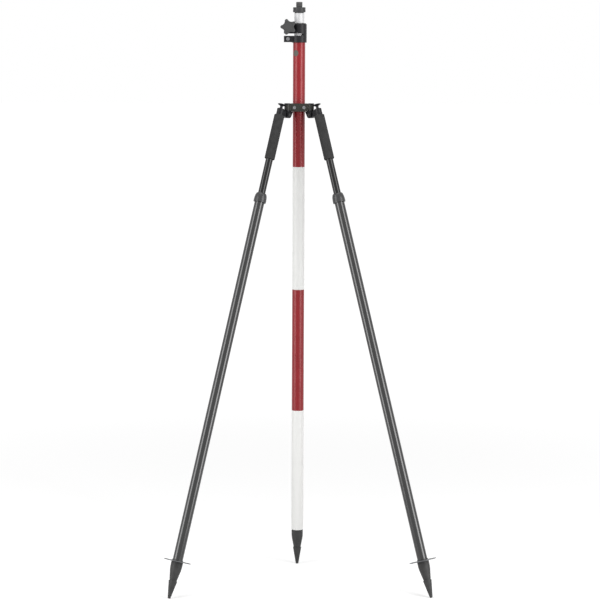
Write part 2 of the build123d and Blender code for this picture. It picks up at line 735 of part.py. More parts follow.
def build_release(side, sign):
    """Thumb button, rod and wedge cone, the spring that pulls them up and the collet."""
    place = leg_frame(sign)
    post_r = POST_OD / 2
    stop_low = spring_top
    stop_high = stop_low + STOP
    rim_low = button_top - BUTTON_RIM
    flare_low = rim_low - BUTTON_FLARE
    crown_r = (BUTTON_R**2 + BUTTON_CROWN**2) / (2 * BUTTON_CROWN)
    half_way = asin(BUTTON_R / crown_r) / 2
    crown = [
        Polyline(
            (0, stop_low),
            (STOP_OD / 2, stop_low),
            (STOP_OD / 2, stop_high),
            (post_r, stop_high),
            (post_r, flare_low),
            (BUTTON_R, rim_low),
            (BUTTON_R, button_top - BUTTON_CROWN),
        ),
        ThreePointArc(
            (BUTTON_R, button_top - BUTTON_CROWN),
            (crown_r * sin(half_way), button_top - crown_r * (1 - cos(half_way))),
            (0, button_top),
        ),
        Line((0, button_top), (0, stop_low)),
    ]
    button = revolve(make_face(Plane.XZ * Curve(crown)), Axis.Z)
    keep(f"{side}_thumb_button", place * button)

    cone_low = collet_low - CONE_SKIRT
    cone_high = collet_low + COLLET_LENGTH - COLLET_FLANGE - 2
    slope = (CONE_LARGE_R - CONE_SMALL_R) / (cone_high - collet_low)
    rod_r = ROD_OD / 2
    rod_low = cone_low + 2
    keep(f"{side}_release_rod", place * rod(rod_r, rod_low, stop_low))
    cone = turned(
        (0, cone_low),
        (CONE_LARGE_R - 1, cone_low),
        (CONE_LARGE_R - RUN, cone_low + 1),
        (CONE_LARGE_R - RUN, collet_low),
        (CONE_SMALL_R - RUN, cone_high),
        (0, cone_high),
    )
    keep(f"{side}_lock_cone", place * (cone - rod(rod_r + SEAT, rod_low, cone_high + 1)))

    grip_r = LOWER_BORE_R - RUN
    tube_end = -UPPER_LENGTH
    shoulder = tube_end - COLLET_FLANGE
    rod_bore = rod_r + RUN
    run_in = cone_high + 1
    collet = turned(
        (CONE_LARGE_R, collet_low),
        (grip_r, collet_low),
        (grip_r, shoulder - 1),
        (UPPER_R, shoulder),
        (UPPER_R, tube_end),
        (UPPER_BORE_R - SEAT, tube_end),
        (UPPER_BORE_R - SEAT, tube_end + COLLET_SPIGOT),
        (rod_bore, tube_end + COLLET_SPIGOT),
        (rod_bore, run_in + 1),
        (CONE_SMALL_R - slope, run_in),
    )
    for k in range(COLLET_SLOTS):
        turn = Rot(0, 0, (k + 0.5) * 360 / COLLET_SLOTS)
        slot = block(0, LOWER_R, -COLLET_SLOT / 2, COLLET_SLOT / 2, collet_low - 1, shoulder - 3)
        collet -= turn * slot
    keep(f"{side}_lock_collet", place * collet)

    low = spring_floor + SPRING_END
    high = spring_top - SPRING_END
    wire = SPRING_WIRE / 2
    mean = (ROD_OD / 2 + SPRING_BORE / 2) / 2
    coil = Helix((high - low - 2 * wire) / SPRING_TURNS, high - low - 2 * wire, mean)
    coil = Pos(0, 0, low + wire) * coil
    section = Plane(origin=coil @ 0, z_dir=coil % 0) * RegularPolygon(wire, WIRE_FACETS)
    keep(f"{side}_button_spring", place * sweep(section, path=coil))


def build_upper_leg(side, sign):
    """Grip, upper tube and the bush ring at its lower end."""
    place = leg_frame(sign)
    grip = tube(GRIP_OD / 2, UPPER_R + SEAT, -GRIP_LENGTH, 0)
    rims = [e for e in grip.edges().filter_by(GeomType.CIRCLE) if e.radius > UPPER_R + 1]
    keep(f"{side}_grip", place * fillet(rims, GRIP_ROUND))
    keep(f"{side}_upper_tube", place * tube(UPPER_R, UPPER_BORE_R, -UPPER_LENGTH, 0))
    bush = tube(LOWER_BORE_R - RUN, UPPER_R + SEAT, -UPPER_LENGTH, UPPER_BUSH - UPPER_LENGTH)
    keep(f"{side}_tube_bush", place * bush)


def dome_outline():
    """Bell of the dome cap: skirt, round shoulder, and a bore stepped for tube and bush."""
    low = dome_top - DOME_HEIGHT
    skirt_top = low + DOME_SKIRT
    outer = DOME_OD / 2
    top_r = DOME_TOP_OD / 2
    rise = dome_top - skirt_top
    bush_top = lower_tube_top + DOME_BUSH_FLANGE + FACE_GAP
    return [
        Polyline(
            (LOWER_R + SEAT, low),
            (outer, low),
            (outer, skirt_top),
        ),
        Bezier(
            (outer, skirt_top),
            (outer, skirt_top + BELL * rise),
            (top_r + BELL * (outer - top_r), dome_top),
            (top_r, dome_top),
        ),
        Polyline(
            (top_r, dome_top),
            (UPPER_R + SWING_GAP / 2, dome_top),
            (UPPER_R + SWING_GAP / 2, bush_top + 1),
            (LOWER_R - 1, bush_top),
            (LOWER_R + SEAT, bush_top),
            (LOWER_R + SEAT, low),
        ),
    ]


def build_lower_leg(side, sign):
    """Lower tube with its dome cap and bush above, foot disc, ferrule and point below."""
    place = foot_frame(sign)
    keep(f"{side}_lower_tube", place * tube(LOWER_R, LOWER_BORE_R, lower_tube_low, lower_tube_top))
    dome = revolve(make_face(Plane.XZ * Curve(dome_outline())), Axis.Z)
    keep(f"{side}_dome_cap", place * dome)
    flange_high = lower_tube_top + DOME_BUSH_FLANGE
    inside = UPPER_R + RUN
    bush = turned(
        (inside, lower_tube_top - DOME_BUSH),
        (LOWER_BORE_R - SEAT, lower_tube_top - DOME_BUSH),
        (LOWER_BORE_R - SEAT, lower_tube_top),
        (LOWER_R - SEAT, lower_tube_top),
        (LOWER_R - SEAT, flange_high - 1),
        (LOWER_R - 1.5, flange_high),
        (inside, flange_high),
    )
    keep(f"{side}_dome_bush", place * bush)
    spigot_r = LOWER_BORE_R - SEAT
    foot = ferrule(
        FOOT_BODY_LOW_OD / 2,
        FOOT_BODY_OD / 2,
        FOOT_TAPER,
        FOOT_BAND,
        spigot_r,
        FOOT_DISC + FOOT_SPIGOT,
    )
    keep(f"{side}_foot_ferrule", place * foot)
    disc = tube(FOOT_DISC_OD / 2, spigot_r + SEAT, disc_low, lower_tube_low)
    rims = [e for e in disc.edges().filter_by(GeomType.CIRCLE) if e.radius > LOWER_R]
    keep(f"{side}_foot_disc", place * chamfer(rims, 0.6))
    keep(f"{side}_leg_point", place * ground_point())


build_pole()
build_inner_pole()
build_lock_collar()
build_clamp()
for side, sign in SIDES:
    build_swivel(side, sign)
    build_leg_head(side, sign)
    build_upper_leg(side, sign)
    build_release(side, sign)
    build_lower_leg(side, sign)

os.makedirs("parts", exist_ok=True)
for name, shape in nodes.items():
    export_step(shape, f"parts/{name}.step")

foot = foot_frame(1).position
print("nodes", len(nodes))
print("heights: tube", round(tube_low, 1), "collar", round(collar_low, 1), "stud", round(stud_top, 1))
print("fold pin", [round(v, 3) for v in (SWIVEL_X, bar_mid_y, pin_z)])
print("leg length", round(leg_length, 2), "foot", [round(v, 2) for v in (foot.X, foot.Y, foot.Z)])
print("grip to dome", round(leg_length - dome_top - GRIP_LENGTH, 2))
print("release end to foot plug", round(collet_low - CONE_SKIRT + leg_length
      - (lower_tube_low + FOOT_SPIGOT), 2))
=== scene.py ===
"""Looks of the prism pole bipod: finishes, threads, graduations and fine turned surfaces.

Metres, in the frame of the CAD model: origin at the pole's point, +Z up, -Y towards the legs.
Sizes in the functions are millimetres.
"""

import json
import math

import bmesh
import bpy
import numpy as np
from mathutils import Matrix, Vector


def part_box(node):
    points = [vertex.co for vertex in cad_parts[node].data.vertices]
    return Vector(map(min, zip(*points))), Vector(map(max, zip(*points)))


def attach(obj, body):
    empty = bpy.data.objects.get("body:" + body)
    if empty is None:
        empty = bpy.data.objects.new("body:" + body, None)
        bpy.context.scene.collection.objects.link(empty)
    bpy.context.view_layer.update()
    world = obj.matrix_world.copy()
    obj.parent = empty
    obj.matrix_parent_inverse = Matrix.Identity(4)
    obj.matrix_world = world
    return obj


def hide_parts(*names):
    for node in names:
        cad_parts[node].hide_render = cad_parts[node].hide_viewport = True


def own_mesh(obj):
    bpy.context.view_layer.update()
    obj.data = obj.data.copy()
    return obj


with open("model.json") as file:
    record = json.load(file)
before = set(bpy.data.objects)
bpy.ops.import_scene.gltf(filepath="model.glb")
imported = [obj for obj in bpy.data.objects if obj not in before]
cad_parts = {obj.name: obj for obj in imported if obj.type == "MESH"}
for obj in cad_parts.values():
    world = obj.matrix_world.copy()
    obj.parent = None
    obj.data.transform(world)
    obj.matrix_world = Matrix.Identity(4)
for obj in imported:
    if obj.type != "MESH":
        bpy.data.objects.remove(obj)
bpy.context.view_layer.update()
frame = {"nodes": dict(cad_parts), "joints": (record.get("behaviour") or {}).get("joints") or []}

MM = 0.001
RING_STEPS = 128        # points round a turned piece
FOOT_MARK = 304.8       # one foot band, mm
POLE_R = 15.0           # outer tube's outside
INNER_R = 12.0          # inner tube's outside
GRIP_R = 12.5           # grip's outside
LOWER_R = 12.1          # lower leg tube's outside
UPPER_R = 9.0           # upper leg tube's outside
LOWER_BORE = 10.5       # lower leg tube's inside radius
POINT_SEAT = 44.6       # height of a point's shoulder over its tip
SHANK_R = 6.0           # a point's screwed shank
SEAT = 0.02             # gap at a seated fit
SIDES = ("left", "right")
joints = {joint["name"]: joint for joint in frame["joints"]}


# Where the CAD pieces lie

def low(name):
    """Lowest corner of a CAD node, in mm."""
    return np.array(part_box(name)[0]) / MM


def high(name):
    """Highest corner of a CAD node, in mm."""
    return np.array(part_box(name)[1]) / MM


def cad_points(name):
    """Vertices of a CAD node as an array, in mm."""
    mesh = frame["nodes"][name].data
    flat = np.empty(3 * len(mesh.vertices))
    mesh.vertices.foreach_get("co", flat)
    return flat.reshape(-1, 3) / MM


def leg_place(side):
    """Matrix from the leg's own frame (Z up the leg, origin at the grip's top) to the object.

    The slide's axis gives Z and the fold pin gives Y. The grip's middle gives the leg's axis,
    and its highest extent along Z gives the origin's height on it.
    """
    z_axis = -Vector(joints[side + "_extend"]["axis"]).normalized()
    y_axis = -Vector(joints[side + "_fold"]["axis"]).normalized()
    x_axis = y_axis.cross(z_axis)
    turn = Matrix((x_axis, y_axis, z_axis)).transposed()
    local = cad_points(side + "_grip") @ np.array(turn)
    centre = (local.min(axis=0) + local.max(axis=0)) / 2
    centre[2] = local[:, 2].max()
    place = turn.to_4x4()
    place.translation = turn @ Vector(centre * MM)
    return place


def along_leg(name, place):
    """Lowest and highest reach of a CAD node along its leg, in mm."""
    inverse = np.array(place.inverted())
    heights = cad_points(name) @ inverse[2, :3] + inverse[2, 3] / MM
    return heights.min(), heights.max()


legs = {side: leg_place(side) for side in SIDES}


# Meshes worked out as surfaces

def keep_piece(name, points, faces, body, material, place=None, crease=32.0):
    """Mesh object from an array of points in mm and an array of faces, riding on a body."""
    points = np.asarray(points, dtype=float) * MM
    if place is not None:
        matrix = np.array(place)
        points = points @ matrix[:3, :3].T + matrix[:3, 3]
    mesh = bpy.data.meshes.new(name)
    mesh.from_pydata(points.tolist(), [], faces.tolist())
    piece = bpy.data.objects.new(name, mesh)
    bpy.context.scene.collection.objects.link(piece)
    work = bmesh.new()
    work.from_mesh(mesh)
    bmesh.ops.remove_doubles(work, verts=work.verts, dist=1e-7)
    bmesh.ops.recalc_face_normals(work, faces=work.faces)
    work.to_mesh(mesh)
    work.free()
    mesh.shade_smooth()
    mesh.set_sharp_from_angle(angle=math.radians(crease))
    mesh.materials.append(material)
    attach(piece, body)
    return piece


def grid_faces(rows, columns, closed_rows, closed_columns):
    """Quads of a grid of points: each joins (i, j), (i, j+1), (i+1, j+1) and (i+1, j)."""
    i = np.arange(rows if closed_rows else rows - 1)[:, None]
    j = np.arange(columns if closed_columns else columns - 1)[None, :]
    i, j = np.broadcast_arrays(i, j)
    next_i = (i + 1) % rows
    next_j = (j + 1) % columns
    corners = (i * columns + j, i * columns + next_j, next_i * columns + next_j, next_i * columns + j)
    return np.stack(corners, axis=-1).reshape(-1, 4)


def eased(corners, radius, steps=7):
    """Outline with each corner P drawn as the curve (1-t)^2 A + 2t(1-t) P + t^2 B.

    A and B lie on the two sides at the easing radius from P, or at 45% of a short side. The
    radius is one number or one for each corner. Corners on the axis stay sharp.
    """
    corners = np.asarray(corners, dtype=float)
    before = np.roll(corners, 1, axis=0) - corners
    after = np.roll(corners, -1, axis=0) - corners
    length_a = np.hypot(*before.T)[:, None]
    length_b = np.hypot(*after.T)[:, None]
    radius = np.where(corners[:, :1] < 1e-9, 0, np.reshape(radius, (-1, 1)))
    a = corners + before / length_a * np.minimum(radius, 0.45 * length_a)
    b = corners + after / length_b * np.minimum(radius, 0.45 * length_b)
    t = np.linspace(0, 1, steps)[None, :, None]
    curve = (1 - t) ** 2 * a[:, None] + 2 * t * (1 - t) * corners[:, None] + t**2 * b[:, None]
    return curve.reshape(-1, 2)


def turned(name, outlines, body, material, place=None, ease=0.3):
    """Outlines (radius, height) turned about Z: x = r cos a, y = r sin a, z = h.

    An outline that starts on the axis is open there, and every other one is closed on itself.
    """
    angle = np.linspace(0, 2 * np.pi, RING_STEPS, endpoint=False)
    points = []
    faces = []
    for outline in outlines:
        curve = eased(outline, ease)
        rings = np.stack(
            np.broadcast_arrays(
                curve[:, :1] * np.cos(angle), curve[:, :1] * np.sin(angle), curve[:, 1:]
            ),
            axis=-1,
        )
        closed = outline[0][0] > 0
        faces.append(grid_faces(len(curve), RING_STEPS, closed, True) + sum(map(len, points)))
        points.append(rings.reshape(-1, 3))
    return keep_piece(name, np.concatenate(points), np.concatenate(faces), body, material, place)


def tube_outline(outer, inner, bottom, top):
    """Section of a round tube between two heights."""
    return [(inner, bottom), (outer, bottom), (outer, top), (inner, top)]


def shell_patch(name, radius, azimuth, height, arc, rise, body, material, thick):
    """Patch on a cylinder about Z, from grids of arc and rise in mm, as one closed sheet.

    A point is (radius, azimuth + arc / radius, height + rise). The grid is laid twice, at the
    two radii, and joined at its rim.
    """
    arc, rise = np.broadcast_arrays(arc, rise)
    angle = azimuth + arc / radius
    sheets = [
        np.stack([r * np.cos(angle), r * np.sin(angle), height + rise], axis=-1)
        for r in (radius, radius + thick)
    ]
    rows = np.concatenate([sheets[0], sheets[1][::-1]])
    faces = grid_faces(len(rows), arc.shape[1], True, False)
    return keep_piece(name, rows.reshape(-1, 3), faces, body, material)


# Finishes

def linear(hex_colour):
    """sRGB hex to the linear colour that Blender works in."""
    channels = np.array([int(hex_colour[i:i + 2], 16) for i in (1, 3, 5)]) / 255
    light = np.where(channels <= 0.04045, channels / 12.92, ((channels + 0.055) / 1.055) ** 2.4)
    return (*light, 1.0)


def node(tree, kind, settings=None, sockets=None):
    """Adds a shader node, sets its properties, and sets or links its sockets by name or number."""
    made = tree.nodes.new(kind)
    for key, value in (settings or {}).items():
        setattr(made, key, value)
    for key, value in (sockets or {}).items():
        if isinstance(value, bpy.types.NodeSocket):
            tree.links.new(value, made.inputs[key])
        else:
            made.inputs[key].default_value = value
    return made


def finish_of(name, dark, light, smooth, rough, grain, depth, stretch=(1, 1, 1), turn=(0, 0, 0),
              clouds=10.0, edge=None, edge_width=0.3, **constants):
    """Material of one Principled surface, with its patterns on Object coordinates.

    Clouds of the given size shift the colour between dark and light. A grain, drawn out by the
    stretch along the turned axes, sets the roughness between smooth and rough and a relief of the
    given depth. Where an edge colour is given, a rounded normal at sharp edges catches the light
    as a broken edge does, and the edge colour is mixed in there: the finish rubbed thin on most
    pieces, and a painted highlight on the bar's ridges. Sizes are mm. The constants go on the
    surface's own sockets.
    """
    material = bpy.data.materials.new(name)
    material.use_nodes = True
    tree = material.node_tree
    tree.nodes.clear()
    surface = node(tree, "ShaderNodeBsdfPrincipled", sockets=constants)
    node(tree, "ShaderNodeOutputMaterial", sockets={"Surface": surface.outputs[0]})
    place = node(tree, "ShaderNodeTexCoord").outputs["Object"]
    mapped = node(
        tree, "ShaderNodeMapping", {"vector_type": "TEXTURE"},
        {"Vector": place, "Rotation": turn, "Scale": stretch},
    )
    lines = node(
        tree, "ShaderNodeTexNoise",
        sockets={"Vector": mapped.outputs[0], "Scale": 1 / (grain * MM), "Detail": 2.0},
    ).outputs["Fac"]
    drift = node(
        tree, "ShaderNodeTexNoise",
        sockets={"Vector": place, "Scale": 1 / (clouds * MM), "Detail": 2.0},
    ).outputs["Fac"]
    shade = node(
        tree, "ShaderNodeMapRange",
        sockets={"Value": drift, "From Min": 0.3, "From Max": 0.7},
    ).outputs["Result"]
    colour = node(
        tree, "ShaderNodeMix", {"data_type": "RGBA"}, {0: shade, 6: linear(dark), 7: linear(light)}
    ).outputs[2]
    bump = node(
        tree, "ShaderNodeBump",
        sockets={"Height": lines, "Distance": depth * MM},
    )
    if edge:
        rounded = node(
            tree, "ShaderNodeBevel", {"samples": 6}, {"Radius": edge_width * MM}
        ).outputs["Normal"]
        true_normal = node(tree, "ShaderNodeNewGeometry").outputs["Normal"]
        likeness = node(
            tree, "ShaderNodeVectorMath", {"operation": "DOT_PRODUCT"}, {0: rounded, 1: true_normal}
        ).outputs["Value"]
        # Share of the edge colour at sharp edges: worn finish, and on the bar a painted highlight
        edge_wear_and_highlight = node(
            tree, "ShaderNodeMapRange",
            sockets={"Value": likeness, "From Min": 0.99, "From Max": 0.8, "To Max": 0.6},
        ).outputs["Result"]
        colour = node(
            tree, "ShaderNodeMix", {"data_type": "RGBA"}, {0: edge_wear_and_highlight, 6: colour, 7: linear(edge)}
        ).outputs[2]
        tree.links.new(rounded, bump.inputs["Normal"])
    gloss = node(
        tree, "ShaderNodeMapRange",
        sockets={"Value": lines, "From Min": 0.3, "From Max": 0.7, "To Min": smooth, "To Max": rough},
    ).outputs["Result"]
    tree.links.new(colour, surface.inputs["Base Color"])
    tree.links.new(gloss, surface.inputs["Roughness"])
    tree.links.new(bump.outputs["Normal"], surface.inputs["Normal"])
    return material


def banded_pole():
    """Pole tube with one-foot bands: white enamel and red-dyed anodising by turns.

    The foot count is (height - start) / 304.8, and even bands are white. The red skin lets a
    little of the metal's own gloss through, and the enamel over it is opaque and smooth.
    """
    material = finish_of(
        "red_anodising_and_white_enamel", "#830A13", "#8B0C17", 0.3, 0.33, 0.3, 0.0001, (1, 1, 90),
        clouds=40.0, **{"IOR": 1.5, "Specular IOR Level": 0.45},
    )
    tree = material.node_tree
    surface = next(n for n in tree.nodes if n.type == "BSDF_PRINCIPLED")
    red = surface.inputs["Base Color"].links[0].from_socket
    place = next(n for n in tree.nodes if n.type == "TEX_COORD").outputs["Object"]
    start = low("outer_tube")[2]
    height = node(tree, "ShaderNodeSeparateXYZ", sockets={"Vector": place}).outputs["Z"]
    count = node(
        tree, "ShaderNodeMath", {"operation": "MULTIPLY_ADD"},
        {0: height, 1: 0.5 / (FOOT_MARK * MM), 2: -0.5 * start / FOOT_MARK},
    ).outputs[0]
    share = node(tree, "ShaderNodeMath", {"operation": "FRACT"}, {0: count}).outputs[0]
    is_red = node(tree, "ShaderNodeMath", {"operation": "GREATER_THAN"}, {0: share, 1: 0.5}).outputs[0]
    bands = node(
        tree, "ShaderNodeMix", {"data_type": "RGBA"}, {0: is_red, 6: linear("#E6E6E4"), 7: red}
    ).outputs[2]
    metal = node(tree, "ShaderNodeMath", {"operation": "MULTIPLY"}, {0: is_red, 1: 0.08}).outputs[0]
    tree.links.new(bands, surface.inputs["Base Color"])
    tree.links.new(metal, surface.inputs["Metallic"])
    return material


def foam_rubber(side):
    """Closed-cell rubber sleeve, ground to size: matt, with a skin of small round cells."""
    material = finish_of(
        side + "_closed_cell_rubber", "#343434", "#3B3B3B", 0.75, 0.88, 0.7, 0.02, clouds=9.0,
        **{"IOR": 1.45, "Specular IOR Level": 0.15},
    )
    tree = material.node_tree
    place = next(n for n in tree.nodes if n.type == "TEX_COORD").outputs["Object"]
    bump = next(n for n in tree.nodes if n.type == "BUMP")
    cells = node(
        tree, "ShaderNodeTexVoronoi", sockets={"Vector": place, "Scale": 1 / (0.9 * MM)}
    ).outputs["Distance"]
    pores = node(tree, "ShaderNodeBump", sockets={"Height": cells, "Distance": 0.04 * MM})
    tree.links.new(pores.outputs["Normal"], bump.inputs["Normal"])
    return material


# Bead-blasted and dyed black: an even dark satin, a little lighter where edges are broken
BLACK = {"edge": "#4A4A4C", "IOR": 1.5, "Specular IOR Level": 0.22}
# Turned steel: its edges rub to a lighter grey, and faint rings from the lathe show
BLACKENED = {"edge": "#5A5A5A", "IOR": 1.5, "Specular IOR Level": 0.25}

finish = {
    "pole": banded_pole(),
    # Drawn tube, clear anodised: bright satin with faint lines along it
    "inner": finish_of(
        "clear_anodised_drawn_aluminium", "#CACACB", "#D0D0D1", 0.5, 0.56, 0.35, 0.0004, (1, 1, 90),
        clouds=22.0, Metallic=0.2,
    ),
    "black": finish_of(
        "black_anodised_aluminium", "#19191B", "#1F1F21", 0.34, 0.44, 0.35, 0.006, **BLACK
    ),
    # Milled bar with a thin dye that leans to olive; its pale edge colour paints bright highlight lines
    # on its ridges
    "bar": finish_of(
        "olive_grey_anodised_bar", "#2C2C28", "#34342F", 0.32, 0.42, 0.35, 0.006,
        # The pale edge colour here is a painted highlight, not wear
        **{**BLACK, "edge": "#9A9A90"},
    ),
    # Injection-moulded with the spark-eroded skin of its mould: even, matt
    "knob": finish_of(
        "moulded_glass_filled_nylon", "#3F3F3F", "#444444", 0.5, 0.6, 0.5, 0.012,
        **{"IOR": 1.5, "Specular IOR Level": 0.3},
    ),
    # Moulded in a polished tool: dark, with a soft clear highlight
    "cap": finish_of(
        "moulded_black_abs", "#2A2A2B", "#2F2F30", 0.3, 0.38, 0.5, 0.004,
        **{"IOR": 1.5, "Specular IOR Level": 0.5},
    ),
    # Turned from natural rod: milky white, slightly waxy
    "bush": finish_of("turned_acetal", "#D8D6CE", "#E2E0D8", 0.35, 0.45, 0.3, 0.004, (60, 60, 1)),
    # Zinc-plated and clear passivated: slightly blue-grey, with a clear glint
    "zinc": finish_of(
        "zinc_plated_steel", "#828284", "#929295", 0.24, 0.34, 0.6, 0.004, Metallic=0.9
    ),
    # Turned steel, phosphated: mid grey, dull
    "stud": finish_of(
        "phosphated_steel", "#4C4C4C", "#565656", 0.4, 0.5, 0.25, 0.004, (60, 60, 1), **BLACKENED
    ),
    # Turned aluminium, dyed dark grey: satin
    "adapter": finish_of(
        "dark_grey_anodised_aluminium", "#363637", "#3D3D3E", 0.36, 0.46, 0.3, 0.005, (60, 60, 1),
        **BLACK,
    ),
    # Bright steel dipped in hot blackening salts, then oiled: charcoal, dull
    "blackened": finish_of(
        "oil_blackened_steel", "#353535", "#3D3D3D", 0.42, 0.55, 0.25, 0.006, (60, 60, 1), **BLACKENED
    ),
    # Rolled sheet, stamped: grey satin with a fine grain
    "rolled": finish_of(
        "rolled_stainless_sheet", "#5E5F61", "#68696B", 0.34, 0.46, 0.8, 0.004, edge="#77787A",
        Metallic=0.6,
    ),
    # Matt film stuck on: even dark brown-grey, no gloss
    "label": finish_of("matt_vinyl_film", "#4B4740", "#565148", 0.5, 0.6, 0.3, 0.002),
    # Burnt into the oxide by a laser: dull black
    "etched": finish_of("etched_black_line", "#1E1E20", "#262628", 0.5, 0.6, 0.3, 0.001),
}
for side, place in legs.items():
    turn = tuple(place.to_euler())
    # Drawn tube, hard anodised dark grey: a smooth dark skin with clear bright strips of light
    finish[side + "_lower"] = finish_of(
        side + "_hard_anodised_tube", "#060607", "#0A0A0B", 0.18, 0.21, 0.35, 0.0002, (1, 1, 90),
        turn,
        **{"IOR": 1.5, "Specular IOR Level": 0.8},
    )
    # Drawn tube, lacquered gloss black
    finish[side + "_upper"] = finish_of(
        side + "_black_lacquered_tube", "#050505", "#080808", 0.08, 0.1, 0.35, 0.0001, (1, 1, 90), turn,
        **{"IOR": 1.5, "Specular IOR Level": 0.4},
    )
    # The ferrules' steel again, with its lathe rings square to the leg
    finish[side + "_steel"] = finish_of(
        side + "_oil_blackened_steel", "#373737", "#404040", 0.42, 0.55, 0.25, 0.006, (60, 60, 1),
        turn, **BLACKENED,
    )
    finish[side + "_grip"] = foam_rubber(side)

node_finish = {
    "outer_tube": "pole", "white_bands": "pole", "inner_tube": "inner",
    "pole_ferrule": "blackened", "pole_point": "blackened", "lock_collar": "black",
    "collar_screw": "zinc", "guide_bush": "bush", "knob_nut": "zinc", "clamp_ring": "black",
    "clamp_screw": "zinc", "hinge_bracket": "bar", "bracket_screws": "zinc",
    "tension_screws": "blackened", "inner_bush": "bush", "neck_ring": "cap",
    "top_adapter": "adapter", "top_stud": "stud", "star_knob": "knob", "knob_screw": "zinc",
}
side_finish = {
    "swivel_clevis": "black", "swivel_cap": "black", "swivel_screw": "blackened",
    "fold_pin": "blackened", "leg_head": "black", "lock_collet": "bush", "tube_bush": "bush",
    "button_spring": "zinc", "thumb_button": "black", "release_rod": "inner", "lock_cone": "zinc",
    "dome_cap": "cap", "dome_bush": "bush", "foot_disc": "rolled",
}
own_finish = {
    "grip": "_grip", "upper_tube": "_upper", "lower_tube": "_lower", "foot_ferrule": "_steel",
    "leg_point": "_steel",
}
for side in SIDES:
    node_finish.update({side + "_" + part: kind for part, kind in side_finish.items()})
    node_finish.update({side + "_" + part: side + kind for part, kind in own_finish.items()})
for name, kind in node_finish.items():
    mesh = frame["nodes"][name].data
    mesh.materials.clear()
    mesh.materials.append(finish[kind])


def dress(piece, slot, *nodes):
    """The piece stands for these CAD nodes, which it hides. The slot is not used."""
    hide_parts(*nodes)


# Pole and inner pole

def point_outline():
    """Screw-in point from its tip up: flat, round rim, straight cone, land, neck and shank.

    The rim is an arc that runs from straight down to square on the cone.
    """
    tip_r = 3.5
    rim_r = 1.3
    cone_slant = 11.6
    land_r = 10.3
    neck_r = 8.7
    land_low, land_high = 40.6, 42.6
    shank_top = POINT_SEAT + 18
    angle = np.radians(np.linspace(-90, -cone_slant, 7))
    rim = np.stack([tip_r - rim_r + rim_r * np.cos(angle), rim_r + rim_r * np.sin(angle)], axis=-1)
    return [
        (0, 0), *map(tuple, rim), (land_r, land_low), (land_r, land_high), (neck_r, land_high),
        (neck_r, POINT_SEAT), (SHANK_R, POINT_SEAT), (SHANK_R, shank_top), (0, shank_top),
    ]


def ferrule_outline(shoulder_r, shoulder, top, spigot_r, spigot_top):
    """Plug on the point from its bore out: cone, soft shoulder, parallel band and spigot."""
    bore = SHANK_R + SEAT
    bore_top = POINT_SEAT + 20
    low_r = 9.2
    return [
        (bore, POINT_SEAT), (low_r, POINT_SEAT), (shoulder_r, shoulder), (shoulder_r, top),
        (spigot_r, top), (spigot_r, spigot_top), (0.01, spigot_top), (0.01, bore_top),
        (bore, bore_top),
    ]


# One easing radius for each corner of the ferrule's outline. The third makes the soft shoulder
FERRULE_EASE = (0.2, 0.4, 7.0, 0.5, 0.1, 0.5, 0.0, 0.0, 0.1)


def pole_pieces():
    """Outer tube, its two white films, the ferrule and the point, as smooth turned pieces."""
    bottom = low("outer_tube")[2]
    top = high("outer_tube")[2]
    outline = tube_outline(POLE_R, POLE_R - 2, bottom, top)
    piece = turned("pole_tube", [outline], "pole", finish["pole"])
    dress(piece, "red_anodised", "outer_tube")
    films = [
        tube_outline(POLE_R + 0.15, POLE_R + 0.01, bottom + k * FOOT_MARK, bottom + (k + 1) * FOOT_MARK)
        for k in (0, 2)
    ]
    piece = turned("white_films", films, "pole", finish["pole"], ease=0.05)
    dress(piece, "white_band", "white_bands")
    outline = ferrule_outline(14.3, 71.0, bottom, 12.98, bottom + 24)
    piece = turned("pole_foot_ferrule", [outline], "pole", finish["blackened"], ease=FERRULE_EASE)
    dress(piece, "dark_steel", "pole_ferrule")
    piece = turned("pole_ground_point", [point_outline()], "pole", finish["blackened"], ease=0.25)
    dress(piece, "dark_steel", "pole_point")


def inner_pole_pieces():
    """Bright inner tube with its neck ring and flanged adapter."""
    bottom = low("inner_tube")[2]
    top = high("inner_tube")[2]
    outline = tube_outline(INNER_R, INNER_R - 1.5, bottom, top)
    piece = turned("inner_pole_tube", [outline], "inner_pole", finish["inner"])
    dress(piece, "silver_anodised", "inner_tube")
    flange = high("neck_ring")[2]
    piece = turned("neck_washer", [tube_outline(11.3, 10.5, top, flange)], "inner_pole", finish["cap"])
    dress(piece, "cap_plastic", "neck_ring")
    crown = high("top_adapter")[2]
    outline = [
        (0, top - 26), (10.48, top - 26), (10.48, flange), (15.4, flange), (15.4, crown - 6.6),
        (15.0, crown - 4.6), (15.4, crown - 2.6), (15.4, crown), (6.02, crown), (6.02, crown - 9),
        (0, crown - 9),
    ]
    ease = (0, 0.5, 0.1, 1.2, 0.4, 0.6, 0.4, 1.2, 0.2, 0.1, 0)
    piece = turned("flanged_adapter", [outline], "inner_pole", finish["adapter"], ease=ease)
    dress(piece, "black_anodised", "top_adapter")


